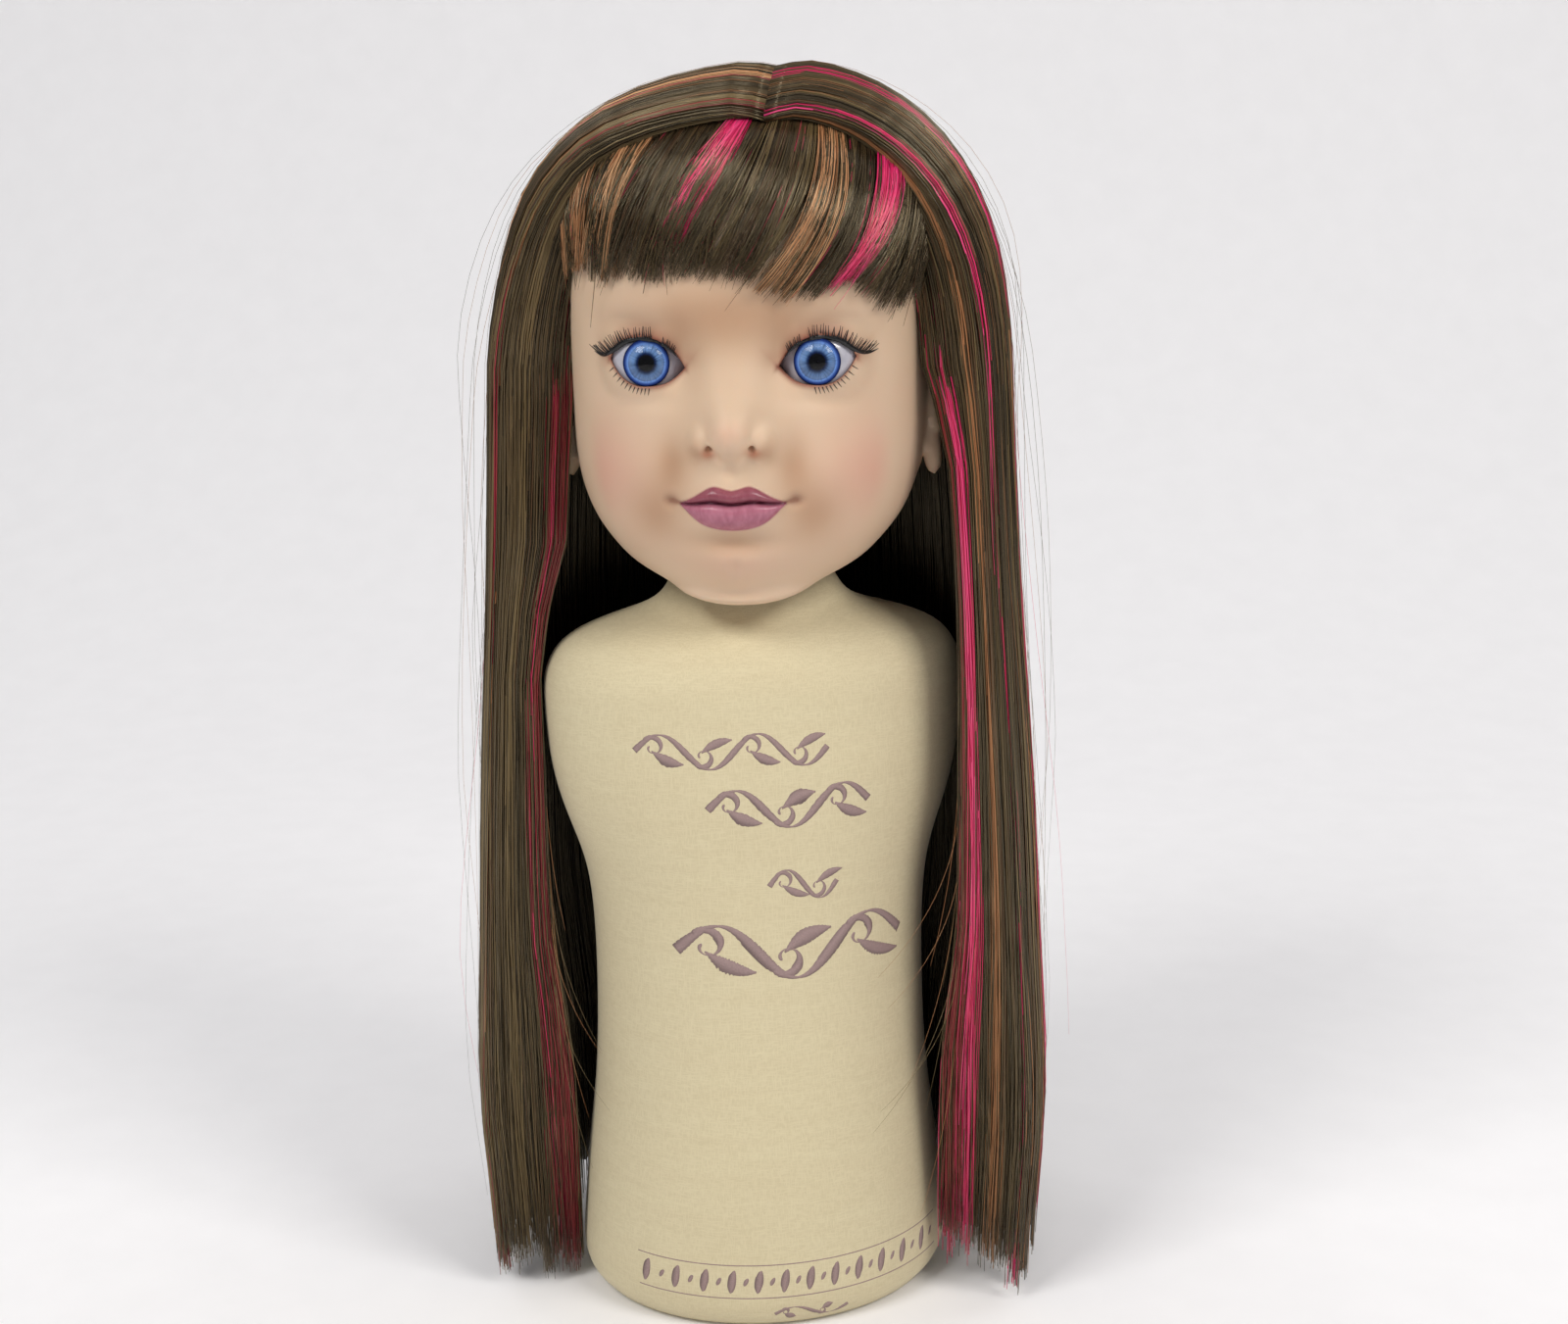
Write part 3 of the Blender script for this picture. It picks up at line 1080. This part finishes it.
def make_fringe(name, first, last, count, colour):
    """One lock of the fringe, its strands gathered in clumps."""
    root = rng.uniform(first, last, count)
    s = np.linspace(0, 1, FRINGE_PLACES)[None]
    layer = rng.random(count) ** 0.7
    if colour != BROWN:
        layer = 0.75 + 0.3 * layer
    clump = ((root - first) / 1.3).astype(int) * 2 + (layer > 0.6)
    clump_swing = rng.normal(0, 1.9, clump.max() + 1)[clump]
    clump_bow = rng.normal(0, 1.3, clump.max() + 1)[clump]
    swing = FRINGE_SWING(root) + clump_swing + rng.normal(0, 1.1, count)
    bow = FRINGE_BOW(root) + clump_bow + rng.normal(0, 0.9, count)
    hook = np.where((np.abs(root + 2) < 10) & (rng.random(count) < 0.5), rng.uniform(2, 7, count), 0)
    x = root[:, None] + swing[:, None] * s**1.15 + bow[:, None] * 2.6 * s * (1 - s) + hook[:, None] * s**4
    top = FRINGE_TOP(root)
    end = FRINGE_END(x[:, -1]) + rng.normal(0, 0.6, count) + rng.exponential(1.3, count)
    end = end + rng.normal(0, 1.0, clump.max() + 1)[clump]
    end = end - rng.exponential(3.0, count) * (rng.random(count) < 0.06)
    under = (colour == PINK) & (root < 0)
    end = end + np.where(under & (rng.random(count) < 0.7), rng.uniform(7, 12, count), 0)
    z = top[:, None] + (end - top)[:, None] * s**0.95
    lift = (0.6 + 3.9 * layer)[:, None] * (0.25 + 0.75 * step(0, 0.3, s)) * (1 - 0.45 * s**3)
    y = forehead_y(x, z, lift)
    paths = lean(np.stack([x, y, z], axis=-1))
    paths = gathered(paths, clump, rng.uniform(0.15, 0.75, count))
    tones = brown_mix(clump, count)
    stray = rng.random(count)
    if colour == PINK:
        tones = dyed(tones, (stray < 0.85) & ((end > 278) | (root > 0)), PINK)
    elif colour == CARAMEL:
        tones = dyed(tones, stray < 0.55, CARAMEL)
    elif name == "fringe_left":
        caramel = (rng.random(clump.max() + 1) < 0.4)[clump] & (root < -16)
        tones = dyed(tones, caramel & (stray < 0.65), CARAMEL)
    tones = np.where((colour == BROWN) & (stray > 0.985), PINK, tones)
    forwards = np.broadcast_to((0, -1.0, 0), paths.shape)
    strand_piece("strands_" + name, paths, rng.uniform(*FRINGE_THICKNESS, count), tones, name,
                 forwards, 0.7, 3)


for fringe_lock in FRINGE:
    make_fringe(*fringe_lock)

# ------------ form: the cloth cover
FORM_YAW = math.radians(17.5)
CLOTH, HEM = 0.8, 9.0
CLOTH_BOTTOM, CLOTH_TOP, CLOTH_CURVE_TOP = 1.2, 196.5, 16.0
form_tree = BVHTree.FromObject(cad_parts["form_cover"], bpy.context.evaluated_depsgraph_get())


def form_half(height, angle):
    """The CAD form's half width or depth at a height, met by a ray at an angle from its own X axis."""
    aim = Vector((math.cos(FORM_YAW + angle), math.sin(FORM_YAW + angle), 0))
    hit = form_tree.ray_cast(aim * 0.1 + Vector((0, 0, height * MM)), -aim)[0]
    return math.hypot(hit.x, hit.y) / MM


form_heights = np.concatenate([[1.5, 3, 5, 8, 12], np.linspace(16, 160, 25), np.linspace(164, 196, 17)])
FORM_SECTIONS = Spline([(z, form_half(z, 0), form_half(z, -math.pi / 2)) for z in form_heights])


def form_point(angle, height, inwards=0.0):
    """A place on the form: angle is from its front, growing towards +X."""
    a, b = np.moveaxis(FORM_SECTIONS(height), -1, 0)
    x, y = (a - inwards) * np.sin(angle), -(b - inwards) * np.cos(angle)
    cos, sin = math.cos(FORM_YAW), math.sin(FORM_YAW)
    return np.stack([x * cos - y * sin, x * sin + y * cos, height + 0 * angle], axis=-1)


def cloth_look():
    """Fine cream cloth: crossing threads, with a faint slub here and there."""
    look = Look("printed_linen", srgb(212, 199, 164), 0.75, Sheen_Weight=0.12, Sheen_Roughness=0.5)
    across = look.noise(0.0003, 2, stretch=(1, 1, 0.12))
    upright = look.noise(0.0003, 2, stretch=(0.12, 0.12, 1))
    weave = look.math("MAXIMUM", across, upright)
    slub = look.noise(0.005, 3, stretch=(0.2, 0.2, 2.0))
    tone = look.ramp(slub, (0.3, srgb(211, 198, 163)), (0.7, srgb(214, 202, 167)))
    shade = look.ramp(weave, (0.45, srgb(226, 221, 208)), (0.62, srgb(255, 255, 255)))
    look.colour(look.mix(0.35, tone, shade, "MULTIPLY"))
    look.roughness(weave, 0.8, 0.7)
    look.bump(weave, 0.00003, 0.4)
    return look.material


def make_cover():
    """The stretched cloth: up the outside, over the neck's edge, down the inside and round the hem."""
    angle = np.linspace(0, 2 * math.pi, 240, endpoint=False)
    curve = CLOTH_BOTTOM + (CLOTH_CURVE_TOP - CLOTH_BOTTOM) * np.linspace(0, 1, 30) ** 1.6
    outer = np.concatenate([curve, np.linspace(CLOTH_CURVE_TOP + 1, CLOTH_TOP, 150)])
    rows = [form_point(angle, np.full_like(angle, CLOTH_BOTTOM), HEM)]
    rows += [form_point(angle, np.full_like(angle, height)) for height in outer]
    rows += [form_point(angle, np.full_like(angle, height), CLOTH) for height in outer[::-1] if height > 2.0]
    hem_top = form_point(angle, np.full_like(angle, CLOTH_BOTTOM), HEM)
    hem_top[:, 2] = CLOTH_BOTTOM + CLOTH
    rows.append(hem_top)
    faces = closed_grid_faces(len(rows), len(angle))
    return mesh_object("linen_cover", np.stack(rows), faces, [cloth_look()])


cover = make_cover()
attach(cover, "form")
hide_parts("form_cover")


# ------------ form: the printed ornament
def closed_ribbon(points, normals, widths, thickness):
    """A flat closed band along a path: a low ridge in the middle and edges that sink in."""
    along = unit(np.gradient(points, axis=0))
    aside = unit(np.cross(normals, along))
    half = widths[:, None] / 2
    corners = np.stack([points - aside * half - normals * 0.02, points + normals * thickness,
                        points + aside * half - normals * 0.02, points - normals * 0.05], axis=1)
    return corners.reshape(-1, 3), rod_faces(len(points), corners.shape[1])


def on_form(x, z):
    """Places on the cloth and its outward directions, from distances across the form's front and heights."""
    a, _b = np.moveaxis(FORM_SECTIONS(z), -1, 0)
    angle = np.arcsin(np.clip(x / a, -0.98, 0.98))
    here = form_point(angle, z)
    aside = form_point(angle + 0.01, z) - here
    upward = form_point(angle, z + 0.2) - here
    return here, unit(np.cross(aside, upward))


SPIRAL_PLACES = 44


def spiral(x, z, size, start, turns, spin):
    """A curl that starts at (x, z) heading towards start and winds inwards."""
    s = np.linspace(0, 1, SPIRAL_PLACES)
    heading = start + spin * 2 * math.pi * turns * s**0.8
    pace = size * (1.15 - s) ** 1.3
    step_x, step_z = pace * np.cos(heading), pace * np.sin(heading)
    scale = 2 * math.pi * turns / len(s)
    return x + np.cumsum(step_x) * scale / 2, z + np.cumsum(step_z) * scale / 2


def flourish(x0, x1, z, height, waves, weight):
    """A running vine with a curl and a leaf at each crest: (x, z, width) paths."""
    s = np.linspace(0, 1, 40 * waves)
    swing = np.sin(math.pi * waves * s)
    x = x0 + (x1 - x0) * s
    paths = [(x, z + 0.24 * height * swing, weight * (0.25 + 0.75 * np.abs(np.cos(math.pi * waves * s))))]
    for wave in range(waves):
        place = (wave + 0.18) / waves
        side = 1 if wave % 2 == 0 else -1
        root_x = x0 + (x1 - x0) * place
        root_z = z + 0.24 * height * math.sin(math.pi * waves * place)
        curl = spiral(root_x, root_z, 0.30 * height, side * 1.2, 1.15, -side)
        thinning = 1.0 - 0.75 * np.linspace(0, 1, SPIRAL_PLACES)
        swelling = 0.6 + 0.4 * np.sin(np.linspace(0, 9, SPIRAL_PLACES))
        paths.append((*curl, weight * thinning * swelling))
        leaf = np.linspace(0, 1, 18)
        leaf_x = root_x + (0.10 + 0.42 * leaf) * height
        leaf_z = root_z - side * height * (0.12 + 0.34 * leaf - 0.16 * leaf**2)
        paths.append((leaf_x, leaf_z, weight * 1.5 * np.sin(math.pi * np.clip(leaf, 0.03, 0.97)) ** 0.8))
    return paths


def beaded_band(x0, x1, z, height, count):
    """Upright lozenges between two thin lines, with a bead between each pair."""
    s = np.linspace(0, 1, 120)
    paths = [(x0 + (x1 - x0) * s, z + side * 0.5 * height + 0 * s, 0.45 + 0 * s) for side in (-1, 1)]
    for number in range(count):
        x = x0 + (x1 - x0) * (number + 0.5) / count
        up = np.linspace(-1, 1, 15)
        wide = 2.6 if number % 2 == 0 else 1.5
        tall = 0.36 if number % 2 == 0 else 0.12
        paths.append((x + 0.06 * height * up, z + tall * height * up, wide * np.sqrt(1.001 - up**2)))
    return paths


INK = srgb(150, 127, 124)
PRINT_HEIGHT = 0.035
# The rows of vine scroll from the chest down: from x, to x, height on the form, size, waves, line weight.
VINES = (
    (-37, 11, 155.5, 18, 4, 2.3), (-20, 22, 140.5, 21, 3, 2.7), (-5, 13, 120, 17, 2, 2.0),
    (-28, 32, 102.5, 30, 3, 3.7), (-7, 13, 4.9, 7.5, 2, 1.3),
)


def make_print():
    """The printed ornament, a thin raised layer of ink on the cloth's front."""
    paths = [path for vine in VINES for path in flourish(*vine)] + beaded_band(-40, 42, 14.5, 9, 24)
    parts = []
    for x, z, widths in paths:
        here, normals = on_form(np.asarray(x, float), np.asarray(z, float))
        parts.append(closed_ribbon(here, normals, np.asarray(widths, float), PRINT_HEIGHT))
    points, faces = joined(parts)
    ink = mesh_object("printed_scroll", points, faces, [grainy("ink", INK, 0.75, 0.0004, 0.1)])
    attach(ink, "form")


SEAM_BOTTOM, SEAM_TOP = 6.0, 192.0
STITCH_PITCH, STITCH_LENGTH, THREAD_R = 2.6, 2.1, 0.22


def make_back_seam():
    """Lock stitches down the middle of the cover's back."""
    starts = np.arange(SEAM_BOTTOM, SEAM_TOP, STITCH_PITCH)
    s = np.linspace(0, 1, 6)[None]
    z = starts[:, None] + STITCH_LENGTH * s
    x = 0.12 * np.cos(math.pi * s) + 0 * z
    a, _b = np.moveaxis(FORM_SECTIONS(z), -1, 0)
    here = form_point(math.pi - x / a, z)
    outward = form_point(math.pi - x / a, z, -1.0) - here
    paths = here + outward * (0.16 * np.sin(math.pi * s)[..., None] + 0.02)
    points, faces = tubes(paths, np.full(z.shape, THREAD_R), outward, 6)
    thread = grainy("thread", srgb(226, 214, 182), 0.7, 0.0003, 0.1)
    seam = mesh_object("back_seam", points, faces, [thread])
    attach(seam, "form")


make_print()
make_back_seam()

# ------------ looks of the CAD's own pieces
CAD_LOOKS = {
    "form_core": grainy("rigid_foam", srgb(226, 222, 208), 0.9, 0.0012, 0.06, depth=0.0004),
    "base_board": grainy("fibreboard", srgb(150, 116, 80), 0.8, 0.0015, 0.14, depth=0.0001),
    "base_pad": grainy("felt", srgb(92, 88, 82), 0.95, 0.0006, 0.2, depth=0.0003),
    "centre_dowel": grainy("beech", srgb(196, 156, 110), 0.6, 0.003, 0.14, (1, 1, 0.08), depth=0.0001),
    "neck_cap": grainy("cap_plastic", srgb(216, 208, 190), 0.5, 0.0008, 0.03, depth=0.00003),
    "neck_ring": grainy("ring_plastic", srgb(224, 216, 198), 0.45, 0.0008, 0.03, depth=0.00003),
    "root_plugs": grainy("root_fibre", srgb(52, 42, 30), 0.5, 0.0004, 0.2),
}
zinc = grainy("zinc_steel", srgb(186, 188, 190), 0.35, 0.0008, 0.06, depth=0.00003, Metallic=1.0)
for name in ("base_screw", "neck_screw", "cover_staples"):
    CAD_LOOKS[name] = zinc
cup = grainy("cup_plastic", srgb(214, 212, 206), 0.5, 0.0008, 0.03)
for side, _sign in SIDES:
    CAD_LOOKS["eye_cup_" + side] = cup
for name, material in CAD_LOOKS.items():
    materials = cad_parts[name].data.materials
    materials.clear()
    materials.append(material)

# ------------ stage, lights, camera
CAMERA_DISTANCE, CAMERA_HEIGHT, CAMERA_AZIMUTH = 0.5694, 0.296, math.radians(5.57)
CAMERA_HEADING, CAMERA_PITCH, CAMERA_ROLL = math.radians(4.78), math.radians(-12.46), math.radians(-0.9)
CAMERA_LENS, SENSOR_WIDTH = 50.4, 36.0
FLOOR_HALF, FLOOR_FRONT = 2.4, -1.6
WALL_START, WALL_CURVE_R, WALL_TOP = 0.5, 0.5, 2.4
# Each light: its name, place, the height it aims at, its size, its power and its colour.
LIGHTS = (
    ("key", (-0.66, -0.82, 1.18), 0.2, (0.6, 0.5), 9.8, (1.0, 0.98, 0.95)),
    ("fill", (0.88, -0.66, 1.05), 0.18, (0.6, 0.5), 9.2, (1.0, 0.97, 0.93)),
    ("window", (0.04, -0.86, 1.27), 0.25, (0.36, 0.07), 0.6, (1, 1, 1)),
    ("back_left", (-1.2, 0.8, 1.4), 0.25, (0.8, 0.8), 4, (1, 1, 1)),
    ("back_right", (1.2, 0.8, 1.4), 0.25, (0.8, 0.8), 4, (1, 1, 1)),
)
STUDIO_COLOUR, STUDIO_STRENGTH = (0.93, 0.95, 1.0, 1), 0.29


def stage():
    """A pale sweep: a floor that curves up into a wall behind."""
    outline = [(FLOOR_FRONT, 0.0), (WALL_START, 0.0)]
    for turn in np.linspace(0.1, math.pi / 2, 16):
        outline.append((WALL_START + WALL_CURVE_R * math.sin(turn), WALL_CURVE_R * (1 - math.cos(turn))))
    outline.append((WALL_START + WALL_CURVE_R, WALL_TOP))
    points = [(x / MM, y / MM, z / MM) for y, z in outline for x in (-FLOOR_HALF, FLOOR_HALF)]
    faces = grid_faces(len(outline), 2, close_columns=False)[:, ::-1]
    sweep = mesh_object("sweep", points, [faces], [grainy("backdrop", srgb(247, 246, 247), 0.9, 0.02, 0.01)])


def soft_light(name, place, aim_height, size, power, colour):
    data = bpy.data.lights.new(name, "AREA")
    data.shape, data.size, data.size_y = "RECTANGLE", size[0], size[1]
    data.energy, data.color = power, colour
    light = bpy.data.objects.new(name, data)
    light.location = place
    light.rotation_euler = (Vector((0, 0, aim_height)) - Vector(place)).to_track_quat("-Z", "Y").to_euler()
    bpy.context.scene.collection.objects.link(light)


stage()
for light_values in LIGHTS:
    soft_light(*light_values)
world = bpy.data.worlds.new("studio")
world.use_nodes = True
background = world.node_tree.nodes["Background"]
background.inputs["Color"].default_value = STUDIO_COLOUR
background.inputs["Strength"].default_value = STUDIO_STRENGTH
bpy.context.scene.world = world
bpy.context.scene.view_settings.view_transform = "Standard"

camera_data = bpy.data.cameras.new("camera")
camera_data.lens, camera_data.sensor_width = CAMERA_LENS, SENSOR_WIDTH
camera_data.clip_start, camera_data.clip_end = 0.05, 20
camera = bpy.data.objects.new("camera", camera_data)
camera.location = (CAMERA_DISTANCE * math.sin(CAMERA_AZIMUTH), -CAMERA_DISTANCE * math.cos(CAMERA_AZIMUTH),
                   CAMERA_HEIGHT)
facing = Matrix.Rotation(CAMERA_HEADING, 3, "Z") @ Matrix.Rotation(math.pi / 2 + CAMERA_PITCH, 3, "X")
camera.rotation_euler = (facing @ Matrix.Rotation(CAMERA_ROLL, 3, "Z")).to_euler()
bpy.context.scene.collection.objects.link(camera)
bpy.context.scene.camera = camera

# ------------ size and finish
bpy.context.view_layer.update()
